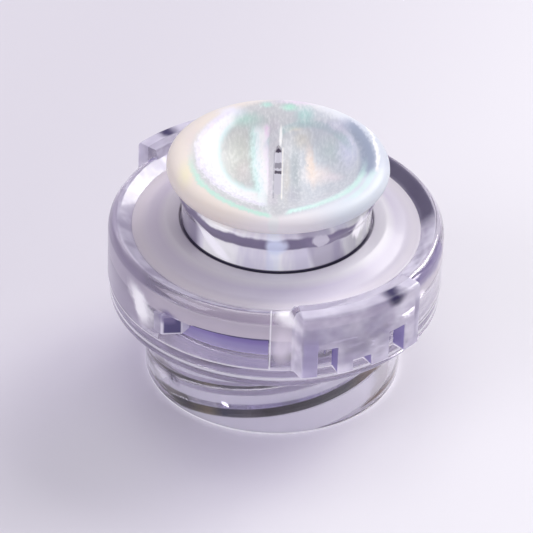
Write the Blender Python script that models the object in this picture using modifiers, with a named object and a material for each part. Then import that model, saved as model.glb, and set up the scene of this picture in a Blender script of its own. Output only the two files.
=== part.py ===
"""Needle free connector: a slit silicone septum on a clear luer neck, held in a notched clear lock collar.

Metres, +Z up. The origin is the centre of the skirt's lower rim, which is the face that the part stands on.
The front is -Y. Angles of the collar's wings and recesses and of the thread are counted from the front,
towards +X.
"""
import math

import bmesh
import bpy
from mathutils import Matrix, Vector

MM = 0.001

# Shared by all the fits: the play between two mouldings that are pressed or welded together.
FIT_GAP = 0.05 * MM

# Threaded skirt: a locking collar with the two-start internal thread of a luer lock.
THREAD_ROOT_RADIUS = 3.95 * MM
THREAD_DEPTH = 0.45 * MM
THREAD_ROOT_WIDTH = 1.2 * MM
THREAD_CREST_WIDTH = 0.5 * MM
THREAD_LEAD = 5.0 * MM
THREAD_STARTS = 2
THREAD_FRONT_HEIGHT = 1.4 * MM
THREAD_RIM_LAND = 0.15 * MM
THREAD_TOP_RELIEF = 0.25 * MM
SKIRT_HEIGHT = 4.2 * MM
SKIRT_WALL = 0.45 * MM
SKIRT_DRAFT = 0.09 * MM
SKIRT_EDGE_RADIUS = 0.11 * MM
WEB_THICKNESS = 0.8 * MM

# Flow insert: the luer tip below, a flange between the web and the neck, and the hollow post above.
TIP_ROOT_RADIUS = 2.05 * MM
TIP_WALL = 1.0 * MM
TIP_TAPER = 0.03
TIP_RECESS = 0.4 * MM
TIP_EDGE_RADIUS = 0.2 * MM
INSERT_FLANGE_THICKNESS = 0.55 * MM
POST_BORE_RADIUS = 0.28 * MM
POST_WALL = 0.2 * MM
POST_TOP_CLEARANCE = 0.45 * MM

# Valve neck: the clear tube under the septum.
NECK_BORE_RADIUS = 2.15 * MM
NECK_WALL = 1.08 * MM
NECK_FLARE = 0.17 * MM
NECK_FLARE_HEIGHT = 0.7 * MM
NECK_LIP_RADIUS = 0.25 * MM
NECK_FLANGE_THICKNESS = 0.35 * MM
NECK_HEIGHT = 2.35 * MM

# Shoulder disc: frosted, with a raised ring round the neck.
DISC_SHELF = 0.43 * MM
DISC_THICKNESS = 0.46 * MM
DISC_RING_RISE = 0.31 * MM
DISC_RING_WIDTH = 0.45 * MM
DISC_FLAT_WIDTH = 0.5 * MM

# Lock collar: a ring with a raised bead that holds the disc.
COLLAR_WALL = 0.75 * MM
COLLAR_LAP = 1.2 * MM
COLLAR_SEAT_WIDTH = 0.24 * MM
COLLAR_BAND_HEIGHT = 0.79 * MM
COLLAR_BAND_STEP = 0.06 * MM
BEAD_RISE = 0.29 * MM
BEAD_CREST_WIDTH = 0.25 * MM

# The collar's two long recesses, each with a wedge-shaped catch under its lintel at one end.
RECESS_LINTEL = 0.19 * MM
RECESS_HEIGHT = 1.17 * MM
RECESS_DEPTH = 0.84 * MM
RECESS_START = math.radians(-42)
RECESS_END = math.radians(-1.5)
CATCH_ANGLE = math.radians(8)
CATCH_CREST_ANGLE = math.radians(3)
CATCH_HEIGHT = 0.74 * MM
CATCH_STAND = 0.16 * MM
CATCH_FALL = 0.3 * MM

# The collar's two wings, each with three finger notches in its lower edge.
WING_STAND = 0.5 * MM
WING_RISE = 0.25 * MM
WING_RAMP_START = math.radians(-1)
WING_RAMP_END = math.radians(9)
WING_END = math.radians(51.4)
WING_EDGE_RADIUS = 0.16 * MM
NOTCH_DEPTH = 0.6 * MM
NOTCH_WIDTH = math.radians(6.4)
TALL_NOTCH_HEIGHT = 1.1 * MM
LOW_NOTCH_HEIGHT = 0.46 * MM
FIRST_NOTCH = math.radians(17.3)
MIDDLE_NOTCH = math.radians(28.9)
LAST_NOTCH = math.radians(41.8)

# Septum: one silicone moulding with its head, plug, boot round the post and sealing foot.
HEAD_OVERHANG = 0.37 * MM
HEAD_HEIGHT = 0.86 * MM
HEAD_LIP_WIDTH = 0.5 * MM
HEAD_LIP_HEIGHT = 0.36 * MM
HEAD_LIP_UNDERCUT = math.radians(32)
DISH_DEPTH = 0.66 * MM
LOBE_DEPTH = 0.3 * MM
RIDGE_WIDTH = 0.75 * MM
MEMBRANE_THICKNESS = 0.66 * MM
PLUG_WALL = 0.48 * MM
BOOT_WALL = 0.26 * MM
BOOT_CONE_HEIGHT = 0.6 * MM
FOOT_THICKNESS = 0.3 * MM
SLIT_LENGTH = 2.95 * MM
SLIT_WIDTH = 0.24 * MM
SLIT_FULLNESS = 6

# How finely round shapes are drawn.
STEPS = 64
CORE_STEPS = 40
ARC_POINTS = 3
LIP_STEPS = 4
UNDERCUT_STEPS = 2
DISH_RINGS = 7
SLIT_STEPS = 10
ARC_SPACING = math.radians(5.625)
MERGE = 1e-7

# How much of a side one fillet may take, in per cent: up to a sharp corner, and up to another fillet.
WHOLE_SIDE = 90
SHARED_SIDE = 45

# Radii, from the thread outwards and from the bore outwards.
skirt_rim_radius = THREAD_ROOT_RADIUS + SKIRT_WALL
skirt_top_radius = skirt_rim_radius + SKIRT_DRAFT
thread_crest_radius = THREAD_ROOT_RADIUS - THREAD_DEPTH
web_hole_radius = TIP_ROOT_RADIUS + FIT_GAP
skirt_socket_radius = skirt_top_radius + FIT_GAP
ledge_bore_radius = skirt_socket_radius - COLLAR_SEAT_WIDTH
flange_radius = ledge_bore_radius - FIT_GAP
disc_seat_radius = skirt_socket_radius + DISC_SHELF
disc_radius = disc_seat_radius - FIT_GAP
collar_radius = disc_seat_radius + COLLAR_WALL
bead_crest_radius = collar_radius - BEAD_CREST_WIDTH
recess_floor_radius = collar_radius - RECESS_DEPTH
wing_radius = collar_radius + WING_STAND
neck_foot_radius = NECK_BORE_RADIUS + NECK_WALL
neck_top_radius = neck_foot_radius + NECK_FLARE
disc_hole_radius = neck_foot_radius + FIT_GAP
plug_radius = NECK_BORE_RADIUS - FIT_GAP
cavity_radius = plug_radius - PLUG_WALL
post_radius = POST_BORE_RADIUS + POST_WALL
boot_bore_radius = post_radius + FIT_GAP
boot_radius = boot_bore_radius + BOOT_WALL
head_radius = neck_top_radius + HEAD_OVERHANG
head_crest_radius = head_radius - HEAD_LIP_WIDTH

# Heights, stacked up from the rim that the part stands on.
web_underside = SKIRT_HEIGHT - WEB_THICKNESS
insert_flange_low = SKIRT_HEIGHT + FIT_GAP
insert_flange_top = insert_flange_low + INSERT_FLANGE_THICKNESS
neck_low = insert_flange_top + FIT_GAP
neck_flange_top = neck_low + NECK_FLANGE_THICKNESS
neck_top = neck_flange_top + NECK_HEIGHT
disc_low = neck_flange_top + FIT_GAP
disc_top = disc_low + DISC_THICKNESS
ledge_top = disc_low - FIT_GAP
collar_low = SKIRT_HEIGHT - COLLAR_LAP
band_top = collar_low + COLLAR_BAND_HEIGHT
bead_top = disc_top + BEAD_RISE
recess_top = ledge_top - RECESS_LINTEL
recess_sill = recess_top - RECESS_HEIGHT
head_low = neck_top + FIT_GAP
head_top = head_low + HEAD_HEIGHT
cavity_top = head_top - DISH_DEPTH - MEMBRANE_THICKNESS
cone_low = cavity_top - BOOT_CONE_HEIGHT
foot_low = insert_flange_top + FIT_GAP


def clear_scene():
    for old in list(bpy.data.objects):
        bpy.data.objects.remove(old, do_unlink=True)


def new_collection(name):
    collection = bpy.data.collections.new(name)
    bpy.context.scene.collection.children.link(collection)
    return collection


clear_scene()
PARTS = new_collection("needle_free_connector")
CUTTERS = new_collection("cutters")


def material(name, colour, roughness, transmission=0.0, ior=1.49):
    made = bpy.data.materials.new(name)
    made.use_nodes = True
    shader = made.node_tree.nodes["Principled BSDF"]
    shader.inputs["Base Color"].default_value = (*colour, 1.0)
    shader.inputs["Metallic"].default_value = 0.0
    shader.inputs["Roughness"].default_value = roughness
    shader.inputs["Transmission Weight"].default_value = transmission
    shader.inputs["IOR"].default_value = ior
    return made


def rounded(corners):
    """A closed outline from corners (across, up, fillet radius): each fillet is an arc of ARC_POINTS points."""
    points = []
    count = len(corners)
    for index, (across, up, radius) in enumerate(corners):
        corner = Vector((across, up))
        if radius == 0.0:
            points.append(corner)
            continue
        last = corners[index - 1]
        following = corners[(index + 1) % count]
        to_last = Vector(last[:2]) - corner
        to_next = Vector(following[:2]) - corner
        half = to_last.angle(to_next) / 2
        reach = min(radius / math.tan(half),
                    to_last.length * (SHARED_SIDE if last[2] else WHOLE_SIDE) / 100,
                    to_next.length * (SHARED_SIDE if following[2] else WHOLE_SIDE) / 100)
        inwards = (to_last.normalized() + to_next.normalized()).normalized()
        centre = corner + inwards * reach / math.cos(half)
        start = corner + to_last.normalized() * reach - centre
        turn = start.angle_signed(corner + to_next.normalized() * reach - centre)
        for step in range(ARC_POINTS):
            points.append(centre + Matrix.Rotation(-turn * step / (ARC_POINTS - 1), 2) @ start)
    return [(point.x, point.y) for point in points]


def mesh_object(name, mesh, collection=PARTS):
    made = bpy.data.objects.new(name, mesh)
    collection.objects.link(made)
    return made


def turned(name, outline, steps=STEPS, closed=True, collection=PARTS):
    """Turns an outline of (radius, height) about Z. It runs down its outer side."""
    mesh = bpy.data.meshes.new(name)
    last = len(outline) - 1
    edges = [(index, index + 1) for index in range(last)]
    if closed:
        edges.append((last, 0))
    mesh.from_pydata([(radius, 0.0, height) for radius, height in outline], edges, [])
    made = mesh_object(name, mesh, collection)
    screw = made.modifiers.new("turn", "SCREW")
    screw.steps = steps
    screw.render_steps = steps
    screw.use_merge_vertices = True
    screw.merge_threshold = MERGE
    return made


def around(radius, angle, height=0.0):
    """A point at an angle from the front, towards +X."""
    return Vector((radius * math.sin(angle), -radius * math.cos(angle), height))


def arc(radius, start, end):
    count = max(2, math.ceil(abs(end - start) / ARC_SPACING) + 1)
    return [around(radius, start + (end - start) * step / (count - 1)) for step in range(count)]


def prism(name, outline, low, high, collection=CUTTERS, top_edge=0.0):
    """Raises a flat outline, given anticlockwise from above, from one height to another."""
    shape = bmesh.new()
    floor = shape.faces.new([shape.verts.new((point.x, point.y, low)) for point in outline])
    raised = bmesh.ops.extrude_face_region(shape, geom=[floor], use_keep_orig=True)
    lifted = [item for item in raised["geom"] if isinstance(item, bmesh.types.BMVert)]
    bmesh.ops.translate(shape, verts=lifted, vec=(0, 0, high - low))
    bmesh.ops.recalc_face_normals(shape, faces=shape.faces)
    if top_edge:
        rim = [edge for edge in shape.edges if all(vert.co.z > high - MERGE for vert in edge.verts)]
        bmesh.ops.bevel(shape, geom=rim, offset=top_edge, offset_type="OFFSET", segments=3, profile=0.5,
                        affect="EDGES", clamp_overlap=True)
    mesh = bpy.data.meshes.new(name)
    shape.to_mesh(mesh)
    shape.free()
    return mesh_object(name, mesh, collection)


def sector(name, inner, outer, start, end, low, high, collection=CUTTERS):
    outline = arc(outer, start, end) + arc(inner, end, start)
    return prism(name, outline, low, high, collection)


def half_turn(guide, name):
    """The same shape on the other side of the axis, with its own mesh."""
    twin = guide.copy()
    twin.data = guide.data.copy()
    twin.name = name
    twin.rotation_euler.z += math.pi
    for collection in guide.users_collection:
        collection.objects.link(twin)
    return twin


def hide_guide(guide):
    guide.hide_render = True
    guide.display_type = "WIRE"


def combine(target, guide, operation):
    boolean = target.modifiers.new(f"{operation.lower()} {guide.name}", "BOOLEAN")
    boolean.object = guide
    boolean.operation = operation
    boolean.solver = "EXACT"
    hide_guide(guide)


def finish(part, look, sharp_angle=math.radians(35)):
    """Reads the part's modifiers into its mesh, then shades it smooth with sharp edges."""
    bpy.context.view_layer.update()
    evaluated = part.evaluated_get(bpy.context.evaluated_depsgraph_get())
    mesh = bpy.data.meshes.new_from_object(evaluated)
    part.modifiers.clear()
    part.data = mesh
    mesh.name = part.name
    mesh.materials.clear()
    mesh.materials.append(look)
    mesh.shade_smooth()
    mesh.set_sharp_from_angle(angle=sharp_angle)
    return part


def thread_ridge(name, start_angle):
    """One start of the internal thread: a trapezoid wound up the skirt's wall, cut level above the rim."""
    sunk = THREAD_ROOT_RADIUS + SKIRT_WALL / 2
    rise = THREAD_LEAD / math.tau
    half_root = THREAD_ROOT_WIDTH / 2
    half_crest = THREAD_CREST_WIDTH / 2
    low = -half_root
    high = web_underside - THREAD_TOP_RELIEF - half_root
    first_angle = start_angle + (low - THREAD_FRONT_HEIGHT) / rise
    turn = (high - low) / rise
    steps = math.ceil(turn / ARC_SPACING)
    section = [(sunk, -half_root), (sunk, half_root), (THREAD_ROOT_RADIUS, half_root),
               (thread_crest_radius, half_crest), (thread_crest_radius, -half_crest),
               (THREAD_ROOT_RADIUS, -half_root)]
    shape = bmesh.new()
    shape.faces.new([shape.verts.new(around(radius, first_angle, low + up)) for radius, up in section])
    bmesh.ops.spin(shape, geom=shape.faces[:], cent=(0, 0, 0), axis=(0, 0, 1),
                   dvec=(0, 0, (high - low) / steps), angle=turn, steps=steps, use_duplicate=False)
    bmesh.ops.recalc_face_normals(shape, faces=shape.faces)
    mesh = bpy.data.meshes.new(name)
    shape.to_mesh(mesh)
    shape.free()
    ridge = mesh_object(name, mesh, CUTTERS)
    below = turned(f"{name}_rim_cut", [(0.0, THREAD_RIM_LAND), (skirt_top_radius, THREAD_RIM_LAND),
                                       (skirt_top_radius, -SKIRT_HEIGHT), (0.0, -SKIRT_HEIGHT)],
                   closed=False, collection=CUTTERS)
    combine(ridge, below, "DIFFERENCE")
    return ridge


def threaded_skirt(look):
    outline = rounded([
        (web_hole_radius, SKIRT_HEIGHT, 0.0),
        (skirt_top_radius, SKIRT_HEIGHT, SKIRT_EDGE_RADIUS),
        (skirt_rim_radius, 0.0, SKIRT_EDGE_RADIUS),
        (THREAD_ROOT_RADIUS, 0.0, SKIRT_EDGE_RADIUS),
        (THREAD_ROOT_RADIUS, web_underside, 0.0),
        (web_hole_radius, web_underside, 0.0),
    ])
    skirt = turned("threaded_skirt", outline)
    for start in range(THREAD_STARTS):
        combine(skirt, thread_ridge(f"thread_start_{start + 1}", math.tau * start / THREAD_STARTS), "UNION")
    return finish(skirt, look)


def flow_insert(look):
    tip_bore_radius = TIP_ROOT_RADIUS - TIP_WALL
    tip_end_radius = TIP_ROOT_RADIUS - TIP_TAPER * (web_underside - TIP_RECESS)
    post_top = cavity_top - POST_TOP_CLEARANCE
    outline = rounded([
        (POST_BORE_RADIUS, post_top, 0.0),
        (post_radius, post_top, POST_WALL / 2),
        (post_radius, insert_flange_top, 0.0),
        (flange_radius, insert_flange_top, 0.0),
        (flange_radius, insert_flange_low, 0.0),
        (TIP_ROOT_RADIUS, insert_flange_low, 0.0),
        (TIP_ROOT_RADIUS, web_underside, 0.0),
        (tip_end_radius, TIP_RECESS, TIP_EDGE_RADIUS),
        (tip_bore_radius, TIP_RECESS, 0.0),
        (tip_bore_radius, web_underside, 0.0),
        (POST_BORE_RADIUS, insert_flange_top, 0.0),
    ])
    return finish(turned("flow_insert", outline, CORE_STEPS), look)


def valve_neck(look):
    outline = rounded([
        (NECK_BORE_RADIUS, neck_top, 0.0),
        (neck_top_radius, neck_top, NECK_LIP_RADIUS),
        (neck_top_radius, neck_top - NECK_FLARE_HEIGHT / 2, NECK_FLARE_HEIGHT),
        (neck_foot_radius, neck_top - NECK_FLARE_HEIGHT, NECK_FLARE_HEIGHT),
        (neck_foot_radius, neck_flange_top, 0.0),
        (flange_radius, neck_flange_top, 0.0),
        (flange_radius, neck_low, 0.0),
        (NECK_BORE_RADIUS, neck_low, 0.0),
    ])
    return finish(turned("valve_neck", outline), look)


def shoulder_disc(look):
    outline = rounded([
        (disc_hole_radius, disc_top + DISC_RING_RISE, DISC_RING_RISE / 4),
        (disc_hole_radius + DISC_RING_WIDTH, disc_top + DISC_RING_RISE, DISC_RING_RISE),
        (disc_radius - DISC_FLAT_WIDTH, disc_top, DISC_RING_RISE),
        (disc_radius, disc_top, DISC_RING_RISE / 4),
        (disc_radius, disc_low, 0.0),
        (disc_hole_radius, disc_low, 0.0),
    ])
    return finish(turned("shoulder_disc", outline), look)


def wing(name):
    """A thickened stretch of the collar: it ramps out, runs round at full radius and ends in a square face."""
    root = bead_crest_radius - BEAD_RISE / 4
    outline = [around(collar_radius - BEAD_RISE / 4, WING_RAMP_START)]
    outline += arc(wing_radius, WING_RAMP_END, WING_END)
    outline += arc(root, WING_END, WING_RAMP_START)
    return prism(name, outline, band_top, bead_top + WING_RISE, top_edge=WING_EDGE_RADIUS)


def notch(name, middle, height):
    return sector(name, wing_radius - NOTCH_DEPTH, wing_radius + NOTCH_DEPTH, middle - NOTCH_WIDTH / 2,
                  middle + NOTCH_WIDTH / 2, band_top - COLLAR_BAND_HEIGHT / 4, band_top + height)


def catch(name):
    """The small wedge at the recess's far end: proud of the wall there, and falling away into the recess."""
    back = RECESS_START - CATCH_CREST_ANGLE / 4
    crest = RECESS_START + CATCH_CREST_ANGLE
    end = RECESS_START + CATCH_ANGLE
    sunk = recess_floor_radius - FIT_GAP
    outline = [around(sunk, back), around(collar_radius + CATCH_STAND, back),
               around(collar_radius + CATCH_STAND, crest), around(collar_radius - CATCH_FALL, end),
               around(sunk, end)]
    return prism(name, outline, recess_top - CATCH_HEIGHT, recess_top + FIT_GAP)


def lock_collar(look):
    band_radius = collar_radius - COLLAR_BAND_STEP
    outline = rounded([
        (disc_seat_radius, disc_top, 0.0),
        (bead_crest_radius, bead_top, BEAD_RISE),
        (collar_radius, disc_top, BEAD_RISE * 2),
        (collar_radius, band_top, 0.0),
        (band_radius, band_top, 0.0),
        (band_radius, collar_low, COLLAR_BAND_STEP * 3),
        (skirt_socket_radius, collar_low, 0.0),
        (skirt_socket_radius, insert_flange_low, 0.0),
        (ledge_bore_radius, insert_flange_low, 0.0),
        (ledge_bore_radius, ledge_top, 0.0),
        (disc_seat_radius, ledge_top, 0.0),
    ])
    collar = turned("lock_collar", outline)
    cuts = [sector("recess", recess_floor_radius, wing_radius, RECESS_START, RECESS_END, recess_sill, recess_top)]
    for place, middle, height in (("first", FIRST_NOTCH, TALL_NOTCH_HEIGHT),
                                  ("middle", MIDDLE_NOTCH, LOW_NOTCH_HEIGHT),
                                  ("last", LAST_NOTCH, TALL_NOTCH_HEIGHT)):
        cuts.append(notch(f"{place}_notch", middle, height))
    both_sides(collar, wing("wing"), "UNION")
    for cut in cuts:
        both_sides(collar, cut, "DIFFERENCE")
    both_sides(collar, catch("recess_catch"), "UNION")
    return finish(collar, look)


def both_sides(target, guide, operation):
    """Works a shape into the target where it stands, and again half a turn round."""
    combine(target, guide, operation)
    combine(target, half_turn(guide, f"{guide.name}_opposite"), operation)


def dish_fall(x, y):
    """How far the septum's top lies under its crest: a round dish, deeper in a lobe on each side of a ridge."""
    spread = min(1.0, math.hypot(x, y) / head_crest_radius)
    bowl = 0.5 + 0.5 * math.cos(math.pi * spread ** 1.5)
    lobe = math.sin(math.pi * spread) ** 2 * (1.0 - math.exp(-(x / RIDGE_WIDTH) ** 2))
    return DISH_DEPTH * bowl + LOBE_DEPTH * lobe


def slit_outline(length, width):
    """A slot along the Y axis, anticlockwise from above: nearly parallel sides that close at both ends."""
    along = [-math.cos(math.pi * step / SLIT_STEPS) for step in range(SLIT_STEPS)]
    side = [Vector((width / 2 * (1 - abs(share) ** SLIT_FULLNESS), length / 2 * share)) for share in along]
    return side + [-point for point in side]


def head_lip():
    """The head's soft lip, from next to its crest over its widest place and a little way under it."""
    turns = [math.pi / 2 * (1 - step / LIP_STEPS) for step in range(1, LIP_STEPS + 1)]
    turns += [-HEAD_LIP_UNDERCUT * step / UNDERCUT_STEPS for step in range(1, UNDERCUT_STEPS + 1)]
    return [(head_crest_radius + HEAD_LIP_WIDTH * math.cos(turn),
             head_top - HEAD_LIP_HEIGHT * (1 - math.sin(turn))) for turn in turns]


def septum(look):
    outline = [(head_crest_radius * ring / DISH_RINGS, head_top) for ring in range(DISH_RINGS + 1)]
    outline += head_lip()
    outline += rounded([
        (neck_top_radius, head_low, 0.0),
        (plug_radius, head_low, 0.0),
        (plug_radius, cavity_top, 0.0),
        (boot_radius, cone_low, 0.0),
        (boot_radius, foot_low + FOOT_THICKNESS, 0.0),
        (plug_radius, foot_low + FOOT_THICKNESS, 0.0),
        (plug_radius, foot_low, 0.0),
        (boot_bore_radius, foot_low, 0.0),
        (boot_bore_radius, cone_low, 0.0),
        (cavity_radius, cavity_top, 0.0),
        (0.0, cavity_top, 0.0),
    ])
    body = finish(turned("septum", outline, closed=False), look)
    for vertex in body.data.vertices:
        if vertex.co.z > head_top - MERGE and vertex.co.xy.length < head_crest_radius + MERGE:
            vertex.co.z = head_top - dish_fall(vertex.co.x, vertex.co.y)
    slit = prism("slit", slit_outline(SLIT_LENGTH, SLIT_WIDTH), cone_low, head_top)
    combine(body, slit, "DIFFERENCE")
    return finish(body, look)


clear_plastic = material("clear_plastic", (0.86, 0.84, 0.92), 0.05, transmission=1.0, ior=1.53)
frosted_plastic = material("frosted_plastic", (0.80, 0.77, 0.83), 0.5, transmission=0.4, ior=1.49)
silicone = material("silicone", (0.88, 0.88, 0.86), 0.3, transmission=0.2, ior=1.41)

threaded_skirt(clear_plastic)
flow_insert(clear_plastic)
valve_neck(clear_plastic)
shoulder_disc(frosted_plastic)
lock_collar(clear_plastic)
septum(silicone)
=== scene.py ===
# %% [markdown]
# # A needle free connector, dressed round its imported frame
# The real object is a clear valve for an infusion line, about as wide as a fingernail. It stands on a
# threaded skirt, and a slit silicone septum closes its top. The imported model is the frame here: it fixes
# the place and size of each moulding, and everything below is modelled round it in the same metres.

# %% Load the frame
import math

import bmesh
import bpy
from mathutils import Matrix, Vector


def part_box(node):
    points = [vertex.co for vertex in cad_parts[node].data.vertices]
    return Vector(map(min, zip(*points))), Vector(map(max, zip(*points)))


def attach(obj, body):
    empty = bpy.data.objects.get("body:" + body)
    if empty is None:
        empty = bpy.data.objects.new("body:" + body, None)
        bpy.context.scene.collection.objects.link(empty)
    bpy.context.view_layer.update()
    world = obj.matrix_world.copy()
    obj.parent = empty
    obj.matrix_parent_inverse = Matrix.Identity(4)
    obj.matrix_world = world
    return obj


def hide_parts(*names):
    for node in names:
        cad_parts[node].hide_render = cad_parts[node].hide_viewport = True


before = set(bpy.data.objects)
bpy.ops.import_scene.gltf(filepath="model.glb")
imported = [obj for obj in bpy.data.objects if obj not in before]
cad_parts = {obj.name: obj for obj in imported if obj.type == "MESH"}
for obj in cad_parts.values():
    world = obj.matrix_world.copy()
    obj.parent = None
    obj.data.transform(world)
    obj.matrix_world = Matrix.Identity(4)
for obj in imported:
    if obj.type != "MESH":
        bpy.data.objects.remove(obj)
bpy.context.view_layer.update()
MM = 0.001

# %% [markdown]
# ## Radii and heights
# Mouldings that fit into each other share their sizes, apart from one small gap, the same everywhere. Each
# piece's box gives its largest radius and its ends, so those are read from the frame, and only what a box
# can't say is written as a number.

# %% Read what the boxes say
def reach(node):
    """A turned piece's outer radius, lower end and upper end, in mm."""
    low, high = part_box(node)
    return high.x / MM, low.z / MM, high.z / MM


skirt_top_r, _, skirt_top_z = reach("threaded_skirt")
collar_r, collar_low_z, wing_top_z = reach("lock_collar")
disc_r, disc_low_z, disc_ring_z = reach("shoulder_disc")
flange_r, neck_low_z, neck_top_z = reach("valve_neck")
head_r, foot_low_z, head_top_z = reach("septum")
insert_r, tip_low_z, post_top_z = reach("flow_insert")
WING_R = 6.22
FIT_GAP = 0.05
print("Radii, mm:", [round(radius, 3) for radius in (
    skirt_top_r, collar_r, WING_R, disc_r, flange_r, head_r, insert_r)])
print("Heights, mm:", [round(height, 3) for height in (
    skirt_top_z, collar_low_z, wing_top_z, disc_low_z, disc_ring_z, neck_low_z, neck_top_z, foot_low_z,
    head_top_z, tip_low_z, post_top_z)])

# %% [markdown]
# ## The camera
# The photograph was taken from far off with a long lens: the ellipses of the disc, the collar and the skirt
# are all flattened alike. Their flattening gives a view 36 degrees above the floor, and the object's axis
# leans a little to the right, so the camera is rolled. One pixel of the 533 pixel frame is 0.034 mm there.

# %% Place the camera
PHOTO_SIDE = 533
PIXEL = 0.034 * MM
VIEW_HEIGHT = math.radians(36)
VIEW_ROLL = math.radians(1.8)
VIEW_DISTANCE = 0.15
SENSOR = 36.0
DISC_SEEN_AT = (276.3, 223.6)
DISC_TOP_Z = disc_low_z + 0.46

back = Vector((0, -math.cos(VIEW_HEIGHT), math.sin(VIEW_HEIGHT)))
level_up = Vector((0, math.sin(VIEW_HEIGHT), math.cos(VIEW_HEIGHT)))
level_right = Vector((1, 0, 0))
right = level_right * math.cos(VIEW_ROLL) + level_up * math.sin(VIEW_ROLL)
up = level_up * math.cos(VIEW_ROLL) - level_right * math.sin(VIEW_ROLL)
disc_middle = Vector((0, 0, DISC_TOP_Z * MM))
off_right = (DISC_SEEN_AT[0] - PHOTO_SIDE / 2) * PIXEL
off_down = (DISC_SEEN_AT[1] - PHOTO_SIDE / 2) * PIXEL
aim = disc_middle - right * off_right + up * off_down

bpy.ops.object.camera_add()
camera = bpy.context.object
camera.name = "photo_camera"
turn = Matrix((right, up, back)).transposed().to_4x4()
camera.matrix_world = Matrix.Translation(aim + back * VIEW_DISTANCE) @ turn
camera.data.sensor_width = SENSOR
camera.data.lens = SENSOR * VIEW_DISTANCE / (PHOTO_SIDE * PIXEL)
camera.data.clip_start = VIEW_DISTANCE / 50
bpy.context.scene.camera = camera
print("Lens, mm:", round(camera.data.lens, 1))

# %% [markdown]
# ## Modelling by hand, in code
# Nearly every piece is a moulding turned about one axis. By hand, its half section is drawn with extruded
# points and then spun, which keeps every fillet where it was drawn. A primitive gives the first point. A
# corner with a radius becomes a short arc, because a moulded edge is never sharp and its highlight shows
# it.

# %% Draw an outline
SIDES = 240
ARC_POINTS = 7
WELD = 0.002 * MM
SMOOTH_ANGLE = math.radians(32)


def rounded(corners, points=ARC_POINTS):
    """Outline points (radius, height) in mm, from corners (radius, height, fillet)."""
    made = []
    for index, (across, high, fillet) in enumerate(corners):
        corner = Vector((across, high))
        if not fillet:
            made.append(corner)
            continue
        before = Vector(corners[index - 1][:2]) - corner
        after = Vector(corners[(index + 1) % len(corners)][:2]) - corner
        half = before.angle(after) / 2
        length = min(fillet / math.tan(half), before.length * 0.48, after.length * 0.48)
        middle = corner + (before.normalized() + after.normalized()).normalized() * length / math.cos(half)
        start = corner + before.normalized() * length - middle
        sweep = start.angle_signed(corner + after.normalized() * length - middle)
        made += [middle + Matrix.Rotation(-sweep * step / (points - 1), 2) @ start for step in range(points)]
    return made


def edit():
    """Enters edit mode with everything selected."""
    bpy.ops.object.mode_set(mode="EDIT")
    bpy.ops.mesh.select_all(action="SELECT")


def extrude(move=(0, 0, 0)):
    bpy.ops.mesh.extrude_region_move(TRANSFORM_OT_translate={"value": move})


def stretch(x, y):
    """Scales what is selected across the axis."""
    bpy.ops.transform.resize(value=(x, y, 1), center_override=(0, 0, 0))


def draw(name, outline, closed=True):
    """Draws the outline (radius, height) in mm on the +X side, as a chain of extruded points."""
    bpy.ops.object.select_all(action="DESELECT")
    bpy.ops.mesh.primitive_plane_add(size=MM)
    piece = bpy.context.object
    piece.name = piece.data.name = name
    bpy.ops.object.mode_set(mode="EDIT")
    bpy.ops.mesh.select_mode(type="VERT")
    bpy.ops.mesh.merge(type="CENTER")
    here = Vector((0, 0, 0))
    for index, (radius, height) in enumerate(list(outline) + ([outline[0]] if closed else [])):
        there = Vector((radius, 0, height)) * MM
        if index:
            extrude(there - here)
        else:
            bpy.ops.transform.translate(value=there)
        here = there
    bpy.ops.mesh.select_all(action="SELECT")
    bpy.ops.mesh.remove_doubles(threshold=WELD / 10)
    return piece


# %% Spin it, weld it and see how it came out
def spin(degrees, steps):
    """Spins what is selected anticlockwise, seen from above."""
    bpy.ops.mesh.spin(steps=steps, angle=-math.radians(degrees), center=(0, 0, 0), axis=(0, 0, 1))


def weld():
    """Shows the whole piece, joins the points that lie on each other, and turns all faces outwards."""
    bpy.ops.mesh.reveal()
    bpy.ops.mesh.select_all(action="SELECT")
    bpy.ops.mesh.remove_doubles(threshold=WELD)
    bpy.ops.mesh.normals_make_consistent(inside=False)


def leave(piece):
    """Leaves edit mode, and says how the piece came out: faces, open edges and volume."""
    bpy.ops.object.mode_set(mode="OBJECT")
    bpy.ops.object.shade_smooth_by_angle(angle=SMOOTH_ANGLE)
    report = bmesh.new()
    report.from_mesh(piece.data)
    loose = sum(not edge.is_manifold for edge in report.edges)
    print(f"{piece.name}: {len(report.faces)} faces, {loose} open edges, "
          f"{report.calc_volume(signed=True) / MM ** 3:.1f} cubic mm")
    report.free()
    return piece


def turned(name, outline, closed=True, sides=SIDES):
    """A whole turned piece: drawn, spun and welded."""
    piece = draw(name, outline, closed)
    spin(360, sides)
    weld()
    return leave(piece)


# %% Pick by place, and work guides in
def turner_place(point):
    """A point's angle from the front in degrees, and its radius and height in mm."""
    return math.degrees(math.atan2(point.x, -point.y)), point.xy.length / MM, point.z / MM


def pick(kind, test):
    """Selects the vertices or faces in view whose place, in a turner's terms, passes the test."""
    bpy.ops.mesh.select_mode(type="VERT" if kind == "verts" else "FACE")
    bpy.ops.mesh.select_all(action="DESELECT")
    shape = bmesh.from_edit_mesh(bpy.context.object.data)
    picked = 0
    for item in getattr(shape, kind):
        point = item.co if kind == "verts" else item.calc_center_median()
        if not item.hide and test(*turner_place(point)):
            item.select_set(True)
            picked += 1
    bmesh.update_edit_mesh(bpy.context.object.data)
    return picked


def take(piece):
    """Makes a piece the only one that is selected, and the active one."""
    bpy.ops.object.select_all(action="DESELECT")
    bpy.context.view_layer.objects.active = piece
    piece.select_set(True)


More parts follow.
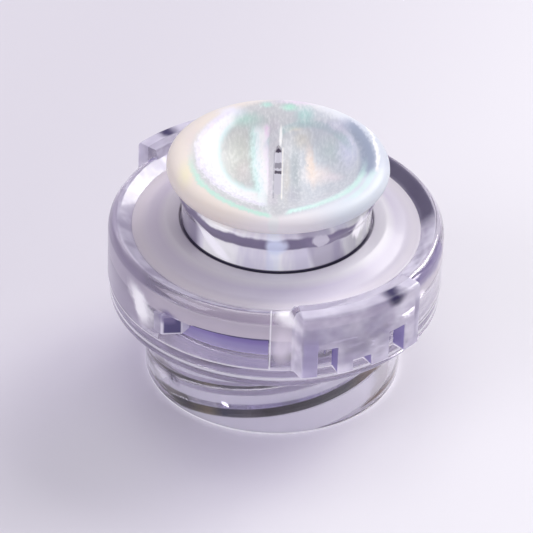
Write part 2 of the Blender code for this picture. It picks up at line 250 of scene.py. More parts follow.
def use(piece, guide, operation):
    """Works a closed guide into the piece, and throws the guide away."""
    take(piece)
    cut = piece.modifiers.new(operation.lower(), "BOOLEAN")
    cut.object, cut.operation, cut.solver = guide, operation, "EXACT"
    bpy.ops.object.modifier_apply(modifier=cut.name)
    bpy.data.objects.remove(guide)


def merge_seams(piece):
    """Welds a piece again after its guides were worked in."""
    take(piece)
    bpy.ops.object.mode_set(mode="EDIT")
    weld()
    return leave(piece)


# %% [markdown]
# ## The shoulder disc
# The frosted ring round the neck closes the collar. It swells up to a low ring at its hole, and it is dead
# flat where it meets the collar. It is a turned piece with soft fillets and nothing else.

# %% Turn the shoulder disc
NECK_FOOT_R = 3.23
shoulder_ring = turned("shoulder_ring", rounded([
    (NECK_FOOT_R + FIT_GAP, disc_low_z, 0),
    (disc_r, disc_low_z, 0.04),
    (disc_r, DISC_TOP_Z, 0.05),
    (disc_r - 0.5, DISC_TOP_Z, 0.5),
    (NECK_FOOT_R + 0.5, disc_ring_z, 0.3),
    (NECK_FOOT_R + FIT_GAP, disc_ring_z, 0.06),
]))

# %% [markdown]
# ## The neck
# The clear tube is the female end of the valve. It flares at its lip, where the septum's head sits on it,
# and its foot flange is caught under the disc. A thick clear wall shows both its skins, so the bore is
# modelled too.

# %% Turn the neck
NECK_BORE_R = 2.15
NECK_TOP_R = 3.40
FLARE_HEIGHT = 0.7
FOOT_FLANGE_TOP_Z = neck_low_z + 0.35
neck_tube = turned("neck_tube", rounded([
    (NECK_BORE_R, neck_low_z, 0.03),
    (flange_r, neck_low_z, 0.04),
    (flange_r, FOOT_FLANGE_TOP_Z, 0.04),
    (NECK_FOOT_R, FOOT_FLANGE_TOP_Z, 0.08),
    (NECK_FOOT_R, neck_top_z - FLARE_HEIGHT, 0.7),
    (NECK_TOP_R, neck_top_z - FLARE_HEIGHT / 2, 0.5),
    (NECK_TOP_R, neck_top_z, 0.22),
    (NECK_BORE_R, neck_top_z, 0.05),
]))

# %% [markdown]
# ## The flow insert
# Inside, a turned core carries the luer tip below and a thin hollow post above. It is only seen through the
# clear walls, but without it the skirt would look empty.

# %% Turn the flow insert
TIP_ROOT_R = 2.05
TIP_TAPER = 0.09
TIP_BORE_R = 1.05
POST_R = 0.48
POST_BORE_R = 0.28
WEB_UNDERSIDE_Z = 3.4
INSERT_FLANGE_LOW_Z = skirt_top_z + FIT_GAP
INSERT_FLANGE_TOP_Z = INSERT_FLANGE_LOW_Z + 0.55
insert_core = turned("insert_core", rounded([
    (TIP_BORE_R, tip_low_z, 0.05),
    (TIP_ROOT_R - TIP_TAPER, tip_low_z, 0.2),
    (TIP_ROOT_R, WEB_UNDERSIDE_Z, 0),
    (TIP_ROOT_R, INSERT_FLANGE_LOW_Z, 0.03),
    (insert_r, INSERT_FLANGE_LOW_Z, 0.04),
    (insert_r, INSERT_FLANGE_TOP_Z, 0.04),
    (POST_R, INSERT_FLANGE_TOP_Z, 0.04),
    (POST_R, post_top_z, 0.09),
    (POST_BORE_R, post_top_z, 0.05),
    (POST_BORE_R, INSERT_FLANGE_TOP_Z, 0),
    (TIP_BORE_R, WEB_UNDERSIDE_Z, 0),
]), sides=160)

# %% [markdown]
# ## The threaded skirt
# The skirt is a locking collar: a thin clear wall with a two-start ridge inside. The two dark lines that
# cross its front are the flanks of one ridge, seen through the wall. Each ridge is a small section swept up
# a helix by a Screw modifier. It is cut level above the rim and then united with the wall.

# %% Turn the skirt and sweep its thread
ROOT_R = 3.95
WEB_HOLE_R = 2.10
THREAD_CREST_R = 3.5
RIM_R = 4.40
RIDGE_ROOT = 1.2
RIDGE_CREST = 0.5
LEAD = 5.0
STARTS = 2
RIDGE_FRONT_Z = 1.4
RIM_LAND = 0.15
RIDGE_LOW_Z = -RIDGE_ROOT / 2
RIDGE_END_GAP = 0.25
RIDGE_HIGH_Z = WEB_UNDERSIDE_Z - RIDGE_END_GAP - RIDGE_ROOT / 2
RIDGE_STEP = 1.5
RIDGE_SUNK = 0.2
CUTTER_DEPTH = 4

skirt_shell = turned("skirt_shell", rounded([
    (ROOT_R, 0, 0.11),
    (RIM_R, 0, 0.11),
    (skirt_top_r, skirt_top_z, 0.08),
    (WEB_HOLE_R, skirt_top_z, 0.03),
    (WEB_HOLE_R, WEB_UNDERSIDE_Z, 0.05),
    (ROOT_R, WEB_UNDERSIDE_Z, 0.15),
]))


def thread_ridge(start_angle):
    """One start of the thread as a closed guide."""
    section = rounded([
        (ROOT_R + RIDGE_SUNK, RIDGE_LOW_Z - RIDGE_ROOT / 2, 0),
        (ROOT_R + RIDGE_SUNK, RIDGE_LOW_Z + RIDGE_ROOT / 2, 0),
        (ROOT_R, RIDGE_LOW_Z + RIDGE_ROOT / 2, 0),
        (THREAD_CREST_R, RIDGE_LOW_Z + RIDGE_CREST / 2, 0.1),
        (THREAD_CREST_R, RIDGE_LOW_Z - RIDGE_CREST / 2, 0.1),
        (ROOT_R, RIDGE_LOW_Z - RIDGE_ROOT / 2, 0),
    ], points=4)
    ridge = draw("thread_ridge", section)
    first = start_angle + (RIDGE_LOW_Z - RIDGE_FRONT_Z) / LEAD * 360
    bpy.ops.transform.rotate(value=-math.radians(first - 90), orient_axis="Z", center_override=(0, 0, 0))
    bpy.ops.object.mode_set(mode="OBJECT")
    turn_degrees = (RIDGE_HIGH_Z - RIDGE_LOW_Z) / LEAD * 360
    helix = ridge.modifiers.new("helix", "SCREW")
    helix.angle = math.radians(turn_degrees)
    helix.screw_offset = (RIDGE_HIGH_Z - RIDGE_LOW_Z) * MM
    helix.steps = helix.render_steps = round(turn_degrees / RIDGE_STEP)
    bpy.ops.object.modifier_apply(modifier=helix.name)
    edit()
    bpy.ops.mesh.fill_holes(sides=0)
    weld()
    leave(ridge)
    bpy.ops.mesh.primitive_cylinder_add(
        vertices=SIDES, radius=RIM_R * MM, depth=CUTTER_DEPTH * MM,
        location=(0, 0, (RIM_LAND - CUTTER_DEPTH / 2) * MM))
    use(ridge, bpy.context.object, "DIFFERENCE")
    return ridge


for start in range(STARTS):
    use(skirt_shell, thread_ridge(360 * start / STARTS), "UNION")
merge_seams(skirt_shell)

# %% [markdown]
# ## The lock collar
# This is the piece that takes the most care. Its ring is spun in stages, so that the mesh has an edge
# exactly where a wing, a notch or a recess begins. The recesses are then pushed into the wall, and the
# wings are extruded out of it all but their notches, which leaves the notches where they belong. The raised
# rows are placed one by one: they turn the bead into the wing's top. The wings' start is a flat ramp.
# Angles are counted from the front towards +X, and everything is done on both sides at once, half a turn
# apart.

# %% Spin the collar's ring in stages
COLUMN = 1.9
RECESS = (-42, -1.5)
WING = (-1, 9, 51.4)
RAMP_PARTS = 5
NOTCH_HALF = 3.2
NOTCHES = ((17.3, 1.1), (28.9, 0.46), (41.8, 1.1))
SOCKET_R = 4.54
LEDGE_R = 4.30
SEAT_R = 4.97
BAND_TOP_Z = 3.79
LEDGE_TOP_Z = disc_low_z - FIT_GAP
RECESS_Z = (LEDGE_TOP_Z - 1.36, LEDGE_TOP_Z - 0.19)
RECESS_FLOOR_R = collar_r - 0.84
BEAD_Z = 6.0
BAND_R = collar_r - 0.06
WING_INNER_R = 5.40
FAR_BELOW_Z = 5.0
wall_rows = sorted({BAND_TOP_Z, *RECESS_Z} | {BAND_TOP_Z + rise for _, rise in NOTCHES})
bead_rows = rounded([
    (collar_r, FAR_BELOW_Z, 0),
    (collar_r, DISC_TOP_Z, 0.6),
    (collar_r - 0.25, BEAD_Z, 0.29),
    (SEAT_R, DISC_TOP_Z, 0),
])[1:-1]
collar_outline = rounded([
    (SOCKET_R, collar_low_z, 0.04), (BAND_R, collar_low_z, 0.18), (BAND_R, BAND_TOP_Z, 0)])
collar_outline += [Vector((collar_r, height)) for height in wall_rows] + bead_rows
collar_outline += rounded([
    (SEAT_R, DISC_TOP_Z, 0.04), (SEAT_R, LEDGE_TOP_Z, 0.04), (LEDGE_R, LEDGE_TOP_Z, 0)])
collar_outline += [Vector((LEDGE_R, INSERT_FLANGE_LOW_Z)), Vector((SOCKET_R, INSERT_FLANGE_LOW_Z))]

marks = {*RECESS, *WING} | {middle + side * NOTCH_HALF for middle, _ in NOTCHES for side in (-1, 1)}
marks = sorted({mark % 180 for mark in marks} | {90, 0, 180})
marks = [mark for mark in marks if mark > 90] + [180 + mark for mark in marks if 0 < mark <= 90]
collar_ring = draw("collar_ring", collar_outline)
for half_turn in (0, 180):
    last = 90
    for mark in marks:
        if mark > last:
            spin(mark - last, max(1, round((mark - last) / COLUMN)))
            last = mark
weld()
print("Rows in the collar's outline:", len(collar_outline))


# %% Push in the recesses
def folded(angle):
    """The same place on the front half: angles half a turn apart are alike. From -60 to 120 degrees."""
    return (angle + 60) % 180 - 60


def between(value, ends, slack=0.01):
    return ends[0] - slack < value < ends[1] + slack


def on_wall(radius):
    return radius > collar_r - 0.02


def in_recess(angle, radius, height):
    return between(folded(angle), RECESS) and between(height, RECESS_Z) and on_wall(radius)


print("Faces of both recesses:", pick("faces", in_recess))
extrude()
push = RECESS_FLOOR_R / collar_r
stretch(push, push)


# %% Extrude the wings and place their rows
def in_notch(angle, height):
    return any(abs(angle - middle) < NOTCH_HALF and height < BAND_TOP_Z + rise for middle, rise in NOTCHES)


def on_wing(angle, radius, height):
    angle = folded(angle)
    on_bead = radius > bead_rows[-1].x and height > DISC_TOP_Z - 0.5
    return (between(angle, (WING[0], WING[2])) and height > BAND_TOP_Z + 0.01 and not in_notch(angle, height)
            and (on_wall(radius) or on_bead))


print("Faces of both wings:", pick("faces", on_wing))
extrude()
bpy.ops.mesh.hide(unselected=True)


def chord(angle, start_radius, end_radius):
    """The radius, at an angle, of the straight line from the ramp's start to its end."""
    first, last = math.radians(angle - WING[0]), math.radians(WING[1] - angle)
    return start_radius * end_radius * math.sin(first + last) / (
        start_radius * math.sin(last) + end_radius * math.sin(first))


def place_row(row, target, angles, slack=0.004):
    """Moves one row of raised points, between two angles, to a new radius and height."""
    if pick("verts", lambda angle, radius, height: between(folded(angle), angles)
            and abs(radius - row[0]) < slack and abs(height - row[1]) < slack):
        scale = target[0] / row[0]
        stretch(scale, scale)
        bpy.ops.transform.translate(value=(0, 0, (target[1] - row[1]) * MM))


wing_rows = rounded([
    (WING_R, FAR_BELOW_Z, 0),
    (WING_R, wing_top_z, 0.16),
    (WING_INNER_R, wing_top_z, 0.06),
    (WING_INNER_R, 5.9, 0),
])[1:-1]
raised = [(Vector((collar_r, height)), Vector((WING_R, height))) for height in wall_rows]
raised += list(zip(bead_rows, wing_rows))
ramp_width = WING[1] - WING[0]
for row, target in raised:
    place_row(row, target, (WING[1], WING[2]))
    for angle in [WING[0] + ramp_width * part / RAMP_PARTS for part in range(1, RAMP_PARTS)]:
        share = (angle - WING[0]) / ramp_width
        place_row(row, (chord(angle, row[0], target[0]), row[1] + (target[1] - row[1]) * share),
                  (angle - 0.2, angle + 0.2))
weld()

# %% [markdown]
# The moulded edges of the wings, notches and recesses are slightly broken, and each catches a thin line of
# light. The sharp edges are found by their angle, and only those of these features get a narrow bevel.

# %% Break the collar's feature edges
EDGE_BREAK = 0.045
bpy.ops.mesh.select_mode(type="EDGE")
bpy.ops.mesh.select_all(action="DESELECT")
bpy.ops.mesh.edges_select_sharp(sharpness=math.radians(40))
shape = bmesh.from_edit_mesh(collar_ring.data)
for edge in [edge for edge in shape.edges if edge.select]:
    angle, radius, height = turner_place((edge.verts[0].co + edge.verts[1].co) / 2)
    feature = any(between(folded(angle), ends, slack=1.01) for ends in ((WING[0], WING[2]), RECESS))
    if not feature or radius < collar_r - 0.3 or (radius < collar_r + 0.01 and height < BAND_TOP_Z + 0.01):
        edge.select_set(False)
bmesh.update_edit_mesh(collar_ring.data)
print("Edges to break:", sum(edge.select for edge in shape.edges))
bpy.ops.mesh.bevel(offset=EDGE_BREAK * MM, segments=2, affect="EDGES", clamp_overlap=True)
weld()
leave(collar_ring)

# %% [markdown]
# Under the lintel at the far end of each recess sits a wedge-shaped catch: proud of the wall at its back,
# and falling away into the recess. It is drawn flat as five corners, raised, and united with the ring.

# %% Add the catches
CATCH_BACK = -42.75
CATCH_PEAK = -39
CATCH_END = -34
CATCH_HEIGHT = 0.74
CATCH_PROUD = 0.16
CATCH_FALL = 0.3
CATCH_SUNK_IN = 0.05
CATCH_SUNK_UP = 0.04
CATCH_EDGE = 0.02


def flat(places):
    """A flat filled outline as a new object, in edit mode."""
    bpy.ops.object.select_all(action="DESELECT")
    bpy.ops.mesh.primitive_circle_add(vertices=len(places), radius=MM, fill_type="NGON")
    made = bpy.context.object
    for vertex, place in zip(made.data.vertices, places):
        vertex.co = place * MM
    edit()
    return made


def catch(half_turn):
    """The wedge as a closed guide, drawn as five corners and raised."""
    sunk = RECESS_FLOOR_R - CATCH_SUNK_IN
    corners = [(sunk, CATCH_BACK), (collar_r + CATCH_PROUD, CATCH_BACK), (collar_r + CATCH_PROUD, CATCH_PEAK),
               (collar_r - CATCH_FALL, CATCH_END), (sunk, CATCH_END)]
    wedge = flat([Vector((radius * math.sin(math.radians(angle + half_turn)),
                          -radius * math.cos(math.radians(angle + half_turn)), RECESS_Z[1] - CATCH_HEIGHT))
                  for radius, angle in corners])
    extrude((0, 0, (CATCH_HEIGHT + CATCH_SUNK_UP) * MM))
    bpy.ops.mesh.select_all(action="SELECT")
    bpy.ops.mesh.normals_make_consistent(inside=False)
    bpy.ops.mesh.bevel(offset=CATCH_EDGE * MM, segments=2, affect="EDGES")
    return leave(wedge)


for half_turn in (0, 180):
    use(collar_ring, catch(half_turn), "UNION")
merge_seams(collar_ring)

# %% [markdown]
# ## The septum
# The head is one soft moulding: a rounded rim, and inside it a dish with two D-shaped lobes on either side
# of a ridge, which carries the slit. Its outside is turned. The dish isn't round, so its points are set by
# a formula, as with a sculpting brush that never slips. Below, the plug narrows to a thin boot round the
# post.

# %% Turn the septum and sink its dish
LIP_ACROSS = 0.50
LIP_HIGH = 0.36
LIP_END = -32
PLUG_R = 2.10
BOOT_R = 0.79
BOOT_BORE_R = 0.53
CAVITY_R = 1.62
HEAD_LOW_Z = neck_top_z + FIT_GAP
DISH_R = head_r - LIP_ACROSS
DISH = 0.66
LOBE = 0.30
LOBE_START = 0.75
HEAD_WALL = 0.66
CAVITY_TOP_Z = head_top_z - DISH - HEAD_WALL
CONE_LOW_Z = CAVITY_TOP_Z - 0.6
FOOT_TOP_Z = foot_low_z + 0.3
DISH_RINGS = 34

head_outline = [Vector((DISH_R * ring / DISH_RINGS, head_top_z)) for ring in range(DISH_RINGS + 1)]
head_outline += [Vector((DISH_R + LIP_ACROSS * math.cos(math.radians(turn)),
                         head_top_z - LIP_HIGH + LIP_HIGH * math.sin(math.radians(turn))))
                 for turn in range(80, LIP_END, -10)]
head_outline += rounded([
    (NECK_TOP_R, HEAD_LOW_Z, 0.08),
    (PLUG_R, HEAD_LOW_Z, 0.04),
    (PLUG_R, CAVITY_TOP_Z, 0.1),
    (BOOT_R, CONE_LOW_Z, 0.2),
    (BOOT_R, FOOT_TOP_Z, 0.1),
    (PLUG_R, FOOT_TOP_Z, 0.05),
    (PLUG_R, foot_low_z, 0.05),
    (BOOT_BORE_R, foot_low_z, 0.03),
    (BOOT_BORE_R, CONE_LOW_Z, 0.1),
    (CAVITY_R, CAVITY_TOP_Z, 0.1),
    (0, CAVITY_TOP_Z, 0),
], points=9)
septum_body = turned("septum_body", head_outline, closed=False)


def dish_fall(x, y):
    """How far the top lies under the crest, in mm: a bowl, and a deeper lobe on each side of the ridge."""
    spread = min(1.0, math.hypot(x, y) / DISH_R)
    bowl = 0.5 + 0.5 * math.cos(math.pi * spread ** 1.5)
    lobe = math.sin(math.pi * spread) ** 2 * (1.0 - math.exp(-(x / LOBE_START) ** 2))
    return DISH * bowl + LOBE * lobe


for vertex in septum_body.data.vertices:
    if vertex.co.z > head_top_z * MM - WELD and vertex.co.xy.length < DISH_R * MM + WELD:
        vertex.co.z -= dish_fall(vertex.co.x / MM, vertex.co.y / MM) * MM
deepest = max(dish_fall(DISH_R * ring / DISH_RINGS, 0) for ring in range(DISH_RINGS))
print("Deepest point of the dish, mm:", round(deepest, 2))

# %% [markdown]
# The slit stands a little open at the top and is closed below. Its guide is a thin slot that widens on its
# way up.

# %% Cut the slit
SLIT_LENGTH = 2.95
SLIT_WIDTH = 0.225
LENS_POINTS = 24
SLIT_DEPTH = 0.45
SLIT_FLOOR_Z = head_top_z - DISH - SLIT_DEPTH
SLIT_STAGES = ((0.42, 1), (0.4, 1.3))
LENS_POWER = 14


def lens(length, width):
    """A slot along the Y axis whose sides bow a little and close at both ends."""
    share = [-math.cos(math.pi * step / LENS_POINTS) / 2 for step in range(LENS_POINTS)]
    side = [Vector((width / 2 * (1 - abs(2 * part) ** LENS_POWER), length * part, 0)) for part in share]
    return side + [-point for point in side]


def slit_guide():
    """The slot as a closed guide: straight up at first, then opening a little."""
    guide = flat([place + Vector((0, 0, SLIT_FLOOR_Z)) for place in lens(SLIT_LENGTH, SLIT_WIDTH)])
    for height, wider in SLIT_STAGES:
        extrude((0, 0, height * MM))
        stretch(wider, 1)
    weld()
    return leave(guide)


use(septum_body, slit_guide(), "DIFFERENCE")
merge_seams(septum_body)

# %% [markdown]
# ## Shader maths
# A finish is written as plain arithmetic. A wire is one socket, an expression on wires adds its Math nodes,
# and one method adds any other node. A wire knows its tree, so what works on wires is a plain function.

# %% A wire that can be calculated with
class Wire:
    """One output socket, with the operators that the finishes use."""

    def __init__(self, tree, socket):
        self.tree, self.socket = tree, socket

    def __add__(self, other):
        return maths("ADD", self, other)

    def __sub__(self, other):
        return maths("SUBTRACT", self, other)

    def __rsub__(self, other):
        return maths("SUBTRACT", other, self)

    def __mul__(self, other):
        return maths("MULTIPLY", self, other)

    def __truediv__(self, other):
        return maths("DIVIDE", self, other)

    __radd__, __rmul__ = __add__, __mul__


class Tree:
    """A node tree, and the one way to add a node to it."""

    def __init__(self, tree):
        self.nodes, self.links = tree.nodes, tree.links

    def join(self, socket, value):
        if isinstance(value, Wire):
            self.links.new(value.socket, socket)
        else:
            socket.default_value = (*value, 1) if socket.type == "RGBA" else value

    def node(self, kind, settings, *values, output=0, **named):
        """Any node: its settings first, a ramp's stops among them, then its inputs by order or by name."""
        made = self.nodes.new("ShaderNode" + kind)
        for setting, value in settings.items():
            if setting == "stops":
                keys = made.color_ramp.elements
                while len(keys) < len(value):
                    keys.new(0.5)
                for key, (place, colour) in zip(keys, value):
                    key.position, key.color = place, (*colour, 1)
            else:
                setattr(made.color_ramp if setting == "interpolation" else made, setting, value)
        for socket, value in zip(made.inputs, values):
            if value is not None:
                self.join(socket, value)
        for name, value in named.items():
            self.join(made.inputs[name.replace("_", " ")], value)
        return Wire(self, made.outputs[output])


# %% What works on wires
def tree_of(*values):
    return next(value.tree for value in values if isinstance(value, Wire))


def maths(operation, *values):
    return tree_of(*values).node("Math", {"operation": operation}, *values)


def combine(*parts):
    return tree_of(*parts).node("CombineXYZ", {}, *parts)


def xyz(place):
    split = place.tree.node("SeparateXYZ", {}, place).socket.node
    return [Wire(place.tree, socket) for socket in split.outputs]


def hypot(across, up):
    return maths("SQRT", across * across + up * up)


def noise(place, scale=1.0, detail=2.0, roughness=0.5):
    return place.tree.node("TexNoise", {}, Vector=place, Scale=scale, Detail=detail, Roughness=roughness)


def ramp(value, stops, mode="EASE"):
    """A colour for each value: stops are (value, colour)."""
    return value.tree.node("ValToRGB", {"interpolation": mode, "stops": stops}, value)


def blend(share, first, second, kind="MIX"):
    """The first colour where the share is 0, and the second where it is 1."""
    return tree_of(share, first, second).node(
        "Mix", {"data_type": "RGBA", "blend_type": kind}, share, *[None] * 5, first, second, output=2)


def step(value, low, high):
    """0 under low, 1 over high, soft between."""
    return value.tree.node("MapRange", {"interpolation_type": "SMOOTHSTEP"}, value, low, high, 0.0, 1.0)


def under(value, low, high):
    """1 under low, 0 over high, soft between."""
    return 1 - step(value, low, high)


def within(value, low, high, soft):
    """1 between low and high, fading to 0 over the soft width on either side."""
    return step(value, low - soft, low) * under(value, high, high + soft)


def oval(across, up, middle, size, soft=0.6):
    """1 in the middle of an oval, fading to 0 at its edge: its middle and its half sizes."""
    return under(hypot((across - middle[0]) / size[0], (up - middle[1]) / size[1]), 1 - soft, 1)


# %% A finish
class Finish(Tree):
    """A material: one Principled shader with its constants, and what is laid over it."""

    def __init__(self, name, **constants):
        self.material = bpy.data.materials.new(name)
        self.material.use_nodes = True
        super().__init__(self.material.node_tree)
        self.shader = self.nodes["Principled BSDF"]
        self.surface = self.nodes["Material Output"].inputs["Surface"]
        self.set(**constants)

    def set(self, **sockets):
        for name, value in sockets.items():
            self.join(self.shader.inputs[name.replace("_", " ")], value)

    def place(self):
        return self.node("TexCoord", {}, output="Object")

    def bump(self, height, strength, distance):
        self.set(Normal=self.node("Bump", {}, Strength=strength, Distance=distance, Height=height))

    def paint(self, layers):
        """Lays (share, colour) layers over the finish's own colour, each where its share is 1."""
        for share, colour in layers:
            so_far = self.shader.inputs["Base Color"].links[0].from_socket
            self.set(Base_Color=blend(share, Wire(self, so_far), colour))
        print(f"{self.material.name}: {len(layers)} layers of paint")

    def mix_in(self, share, other):
        """Mixes another shader into what the material shows so far."""
        so_far = Wire(self, self.surface.links[0].from_socket)
        self.join(self.surface, self.node("MixShader", {}, share, so_far, other))

    def paint_light_and_shade(self, layers, roughness, coat=0.5, glow=0.0):
        """Painted light and shade, milky or dark, as (share, colour) layers of a second, glowing shader."""
        total, tint = layers[0]
        for share, colour in layers[1:]:
            total = total + share - total * share
            tint = blend(share / (total + 0.001), tint, colour)
        self.mix_in(total, self.node(
            "BsdfPrincipled", {}, Roughness=roughness, Coat_Weight=coat, Base_Color=tint,
            Emission_Color=blend(1.0, tint, tint, "MULTIPLY"), Emission_Strength=glow))
        print(f"{self.material.name}: {len(layers)} clouds")

    def pass_lamps(self, tint, share=1.0):
        """Lets the lamps' rays through, tinted, so that clear plastic throws a pale violet shadow."""
        path = self.node("LightPath", {}, output="Is Shadow Ray")
        self.mix_in(path * share, self.node("BsdfTransparent", {}, tint))


# %% [markdown]
# ## The finishes
# Clear polycarbonate bends light strongly and has a faint violet cast. Moulded walls aren't optically flat,
# so fine flow lines, a slow ripple and a little haze keep their reflections alive.

# %% Clear plastic
FLOW_ACROSS = 2600
FLOW_ALONG = 160
RIPPLE = 330


def clear_plastic(name, tint, deep, haze, milk):
    """Clear plastic with flow lines: its light and deep tints, haze and milkiness."""
    made = Finish(name, Transmission_Weight=1.0 - milk, IOR=1.5, Coat_Weight=0.5, Coat_Roughness=0.02)
    x, y, z = xyz(made.place())
    flow = combine(hypot(x, y) * FLOW_ACROSS, z * FLOW_ACROSS, (x + y * 1.7) * FLOW_ALONG)
    lines = noise(flow, detail=3.0)
    made.set(Roughness=lines * haze + haze * 0.3, Base_Color=blend(step(lines, 0.48, 0.72), tint, deep))
    made.bump(lines + noise(made.place(), RIPPLE) * 4, 0.35, 0.012 * MM)
    return made


def measured(finish):
    """A point in a turner's terms: x in mm, angle from the front in degrees, radius and height in mm."""
    x, y, z = [part / MM for part in xyz(finish.place())]
    return x, maths("ARCTAN2", x, y * -1) * math.degrees(1), hypot(x, y), z


LAMP_VEIL = (0.80, 0.785, 0.83)
collar_finish = clear_plastic("collar_plastic", (0.82, 0.79, 0.86), (0.58, 0.53, 0.66), 0.05, 0.10)
neck_finish = clear_plastic("neck_plastic", (0.96, 0.96, 0.98), (0.90, 0.89, 0.95), 0.03, 0.10)
insert_finish = clear_plastic("insert_plastic", (0.80, 0.77, 0.92), (0.62, 0.57, 0.84), 0.05, 0.15)
skirt_finish = clear_plastic("skirt_plastic", (0.93, 0.92, 0.94), (0.80, 0.78, 0.85), 0.04, 0.04)
for made in (collar_finish, neck_finish, insert_finish, skirt_finish):
    print(made.material.name, "has", len(made.nodes), "nodes so far")
insert_finish.pass_lamps(LAMP_VEIL)

# %% [markdown]
# Thick clear walls aren't clear all over. They gather light and dark with soft borders: a milky band round
# the collar's wall, deep violet shade in the recesses and on the notches' side walls, and a dark reflection
# on the bead's inner slope at the back. Rays that really do this would need a far finer mould than a model
# has, so this light and shade is painted into the plastic by place, each patch as a share of a second,
# milky shader that glows a little. Side is the angle on either half of the collar, and shreds fray the
# borders.

# %% Where the collar's painted light and shade lie
x, angle, out, z = measured(collar_finish)
side = maths("WRAP", angle, 120, -60)
shreds = (noise(collar_finish.place(), 900.0, detail=3.0, roughness=0.6) - 0.5) * 2
swirl = noise(combine(angle * 0.11, z * 1.1, out * 1.2)) + shreds * 0.1
wall = under(out, collar_r + 0.02, collar_r + 0.05)
wing = 1 - wall
front_rows = step(out, collar_r - 0.2, collar_r - 0.1)
inner_slope = under(out, collar_r - 0.34, collar_r - 0.26) * step(z, 5.55, 5.75)
recess_floor = within(out, RECESS_FLOOR_R - 0.03, RECESS_FLOOR_R + 0.03, 0.03) * within(z, *RECESS_Z, 0.03)
recess_high = (z - RECESS_Z[0]) / (RECESS_Z[1] - RECESS_Z[0]) + shreds * 0.06
notch_walls = sum(
    within(side, middle + NOTCH_HALF - 0.3, middle + NOTCH_HALF + 0.1, 0.1)
    * within(z, BAND_TOP_Z + 0.08, BAND_TOP_Z + rise - 0.08, 0.05)
    * under(out, WING_R - 0.06, WING_R - 0.03) for middle, rise in NOTCHES)


def on_catch(ends, heights, soft):
    """1 on the catch's slanted face, held back from its ends (degrees) and its heights (mm)."""
    return within(side, CATCH_PEAK + ends[0], CATCH_END - ends[1], soft) * (
        within(z, RECESS_Z[1] - CATCH_HEIGHT + heights[0], RECESS_Z[1] - heights[1], 0.04)) * (
        step(out, RECESS_FLOOR_R + 0.1, RECESS_FLOOR_R + 0.15))


# %% Painted light and shade in the collar
collar_finish.paint_light_and_shade([
    # The wall's painted light and shade: a milky band, a shaded left end, a dark reflection by the bead.
    (wall * within(z, 5.04, 5.60, 0.10) * 0.72, (0.62, 0.57, 0.63)),
    (wall * within(angle, -100, -55, 14) * within(z, 4.0, 5.8, 0.4) * 0.65, (0.34, 0.30, 0.40)),
    (front_rows * within(angle + shreds * 6, 58, 78, 8) * within(z + shreds * 0.2, 5.5, 6.2, 0.25) * 0.75,
     (0.20, 0.16, 0.34)),
    # The bead's inner slope in painted light and dark, and its painted dark reflection at the back.
    (inner_slope * 0.55, blend(step(swirl, 0.35, 0.65), (0.38, 0.35, 0.47), (0.74, 0.72, 0.82))),
    (inner_slope * within(angle + shreds * 8, 98, 142, 10) * 0.92, (0.08, 0.065, 0.13)),
    # The wing's painted light and shade: swirls, a ramp highlight, a shaded first column and top, a dark
    # spot.
    (wing * 0.5, blend(step(swirl, 0.25, 0.75), (0.44, 0.40, 0.54), (0.90, 0.87, 0.96))),
    (step(side, -0.9, -0.6) * front_rows * oval(side + shreds * 2, z, (3.5, 4.8), (5.5, 1.1), 0.8) * 0.6,
     (0.92, 0.86, 0.93)),
    (wing * within(side + shreds, 9.8, 13.4, 1.2) * within(z, 3.8, 5.0, 0.5) * 0.55, (0.36, 0.31, 0.54)),
    (step(z, wing_top_z - 0.05, wing_top_z) * 0.4, (0.62, 0.59, 0.70)),
    (oval(side + shreds * 3, z + shreds * 0.2, (41, 6.15), (5.5, 0.36), 0.8) * step(out, 5.7, 5.8),
     (0.03, 0.02, 0.09)),
    # Painted shade in the recess, on the notches' walls and under the lintel; the catch's light and shade.
    (recess_floor * 0.85, ramp(recess_high, [
        (0.0, (0.60, 0.55, 0.76)), (0.2, (0.46, 0.41, 0.68)), (0.42, (0.32, 0.26, 0.57)),
        (0.5, (0.10, 0.08, 0.25))])),
    (on_catch((-0.5, -0.3), (-0.08, -0.04), 0.4) * 0.6, (0.95, 0.93, 1.0)),
    (on_catch((0.6, 0.6), (0.08, 0.08), 0.5) * 0.95, (0.055, 0.04, 0.17)),
    (notch_walls * 0.8, (0.19, 0.15, 0.40)),
    (within(side, -27, -1.8, 1.5) * front_rows * within(z, RECESS_Z[1] - 0.06, RECESS_Z[1] + 0.04, 0.02),
     (0.04, 0.03, 0.11)),
    # Painted glints and painted dark reflections on the wall and the wing.
    (front_rows * oval(side + shreds * 5, z + side * 0.05 + shreds * 0.5, (-52, 2.15), (9, 0.75), 0.7),
     (1.0, 0.99, 1.0)),
    (front_rows * oval(side + shreds * 3, z + shreds * 0.3, (-37, 4.95), (6, 0.32), 0.7) * 0.8,
     (0.22, 0.18, 0.34)),
    (oval(side + z * 5 + shreds * 3, z, (34, 5.84), (6.0, 0.40), 0.8) * 0.9, (1.0, 0.98, 1.0)),
    (wing * oval(side + z * 3 + shreds * 3, z, (18.5, 5.2), (4.5, 0.9), 0.9) * 0.9, (1.0, 0.98, 1.0)),
    # Painted highlight lines and dark lines along the band's edges, and a highlight line down the wing's
    # start.
    (within(z, BAND_TOP_Z - 0.03, BAND_TOP_Z + 0.02, 0.03) * front_rows * 0.65, (1.0, 0.99, 1.0)),
    (wall * within(z, 3.50, 3.62, 0.06) * 0.5, (0.30, 0.26, 0.38)),
    (wall * within(z, 3.34, 3.40, 0.05) * 0.6, (0.95, 0.94, 0.98)),
    (wall * within(z, 3.16, 3.22, 0.05) * 0.45, (0.33, 0.29, 0.40)),
    (within(side, -1.05, -0.7, 0.15) * step(z, 3.8, 3.85) * 0.6, (1.0, 0.99, 1.0)),
], roughness=0.3, coat=0.2, glow=0.14)
collar_finish.pass_lamps(LAMP_VEIL)
